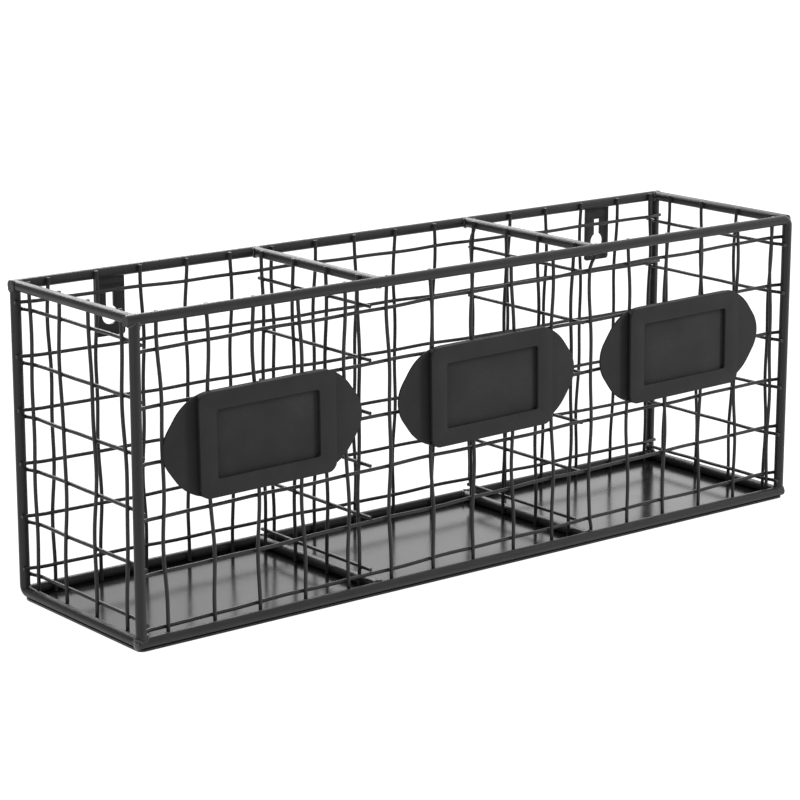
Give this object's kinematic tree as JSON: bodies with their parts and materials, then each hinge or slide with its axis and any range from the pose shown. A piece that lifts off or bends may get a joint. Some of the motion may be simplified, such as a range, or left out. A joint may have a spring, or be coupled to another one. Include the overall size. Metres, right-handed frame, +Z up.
{
  "type": "flatware caddy",
  "caption": "Black wire flatware caddy: rod frame, mesh walls and dividers, sheet floor, keyhole wall tabs and framed labels whose chalkboard cards slide out sideways.",
  "frame": {"origin": "middle of the underside of the floor plate", "axes": "+X to the right along the front (the label side), +Y towards the wall, +Z up"},
  "size_m": [0.41, 0.104, 0.152],
  "materials": {
    "frame_coat": "satin black powder coat on steel rod",
    "wire_coat": "satin black powder coat on steel wire",
    "floor_coat": "smoother satin black coat on steel sheet",
    "label_coat": "matte black coat on pressed steel sheet",
    "chalkboard": "matte chalkboard card"
  },
  "bodies": {
    "caddy": {"front_hoop": "frame_coat", "left_hoop": "frame_coat", "back_top_rail": "frame_coat", "left_top_rail": "frame_coat", "right_top_rail": "frame_coat", "front_left_post": "frame_coat", "back_right_post": "frame_coat", "front_bottom_rail": "frame_coat", "back_bottom_rail": "frame_coat", "right_bottom_rail": "frame_coat", "left_divider_top_bar": "frame_coat", "left_divider_base_bar": "frame_coat", "right_divider_top_bar": "frame_coat", "right_divider_base_bar": "frame_coat", "front_uprights": "wire_coat", "front_crosswires": "wire_coat", "back_uprights": "wire_coat", "back_crosswires": "wire_coat", "left_end_uprights": "wire_coat", "left_end_crosswires": "wire_coat", "right_end_uprights": "wire_coat", "right_end_crosswires": "wire_coat", "left_divider_uprights": "wire_coat", "left_divider_crosswires": "wire_coat", "right_divider_uprights": "wire_coat", "right_divider_crosswires": "wire_coat", "floor_plate": "floor_coat", "left_hanger": "frame_coat", "right_hanger": "frame_coat", "left_label_plate": "label_coat", "left_label_bezel": "label_coat", "middle_label_plate": "label_coat", "middle_label_bezel": "label_coat", "right_label_plate": "label_coat", "right_label_bezel": "label_coat"},
    "left_card": {"left_label_card": "chalkboard"},
    "middle_card": {"middle_label_card": "chalkboard"},
    "right_card": {"right_label_card": "chalkboard"}
  },
  "joints": [
    {"name": "left_card_slide", "type": "slide", "parent": "caddy", "child": "left_card", "axis": [-0.9999, 0, -0.0157], "range_m": [0, 0.0295]},
    {"name": "middle_card_slide", "type": "slide", "parent": "caddy", "child": "middle_card", "axis": [-0.9999, 0, -0.0157], "range_m": [0, 0.058]},
    {"name": "right_card_slide", "type": "slide", "parent": "caddy", "child": "right_card", "axis": [-0.9999, 0, -0.0157], "range_m": [0, 0.054]}
  ]
}
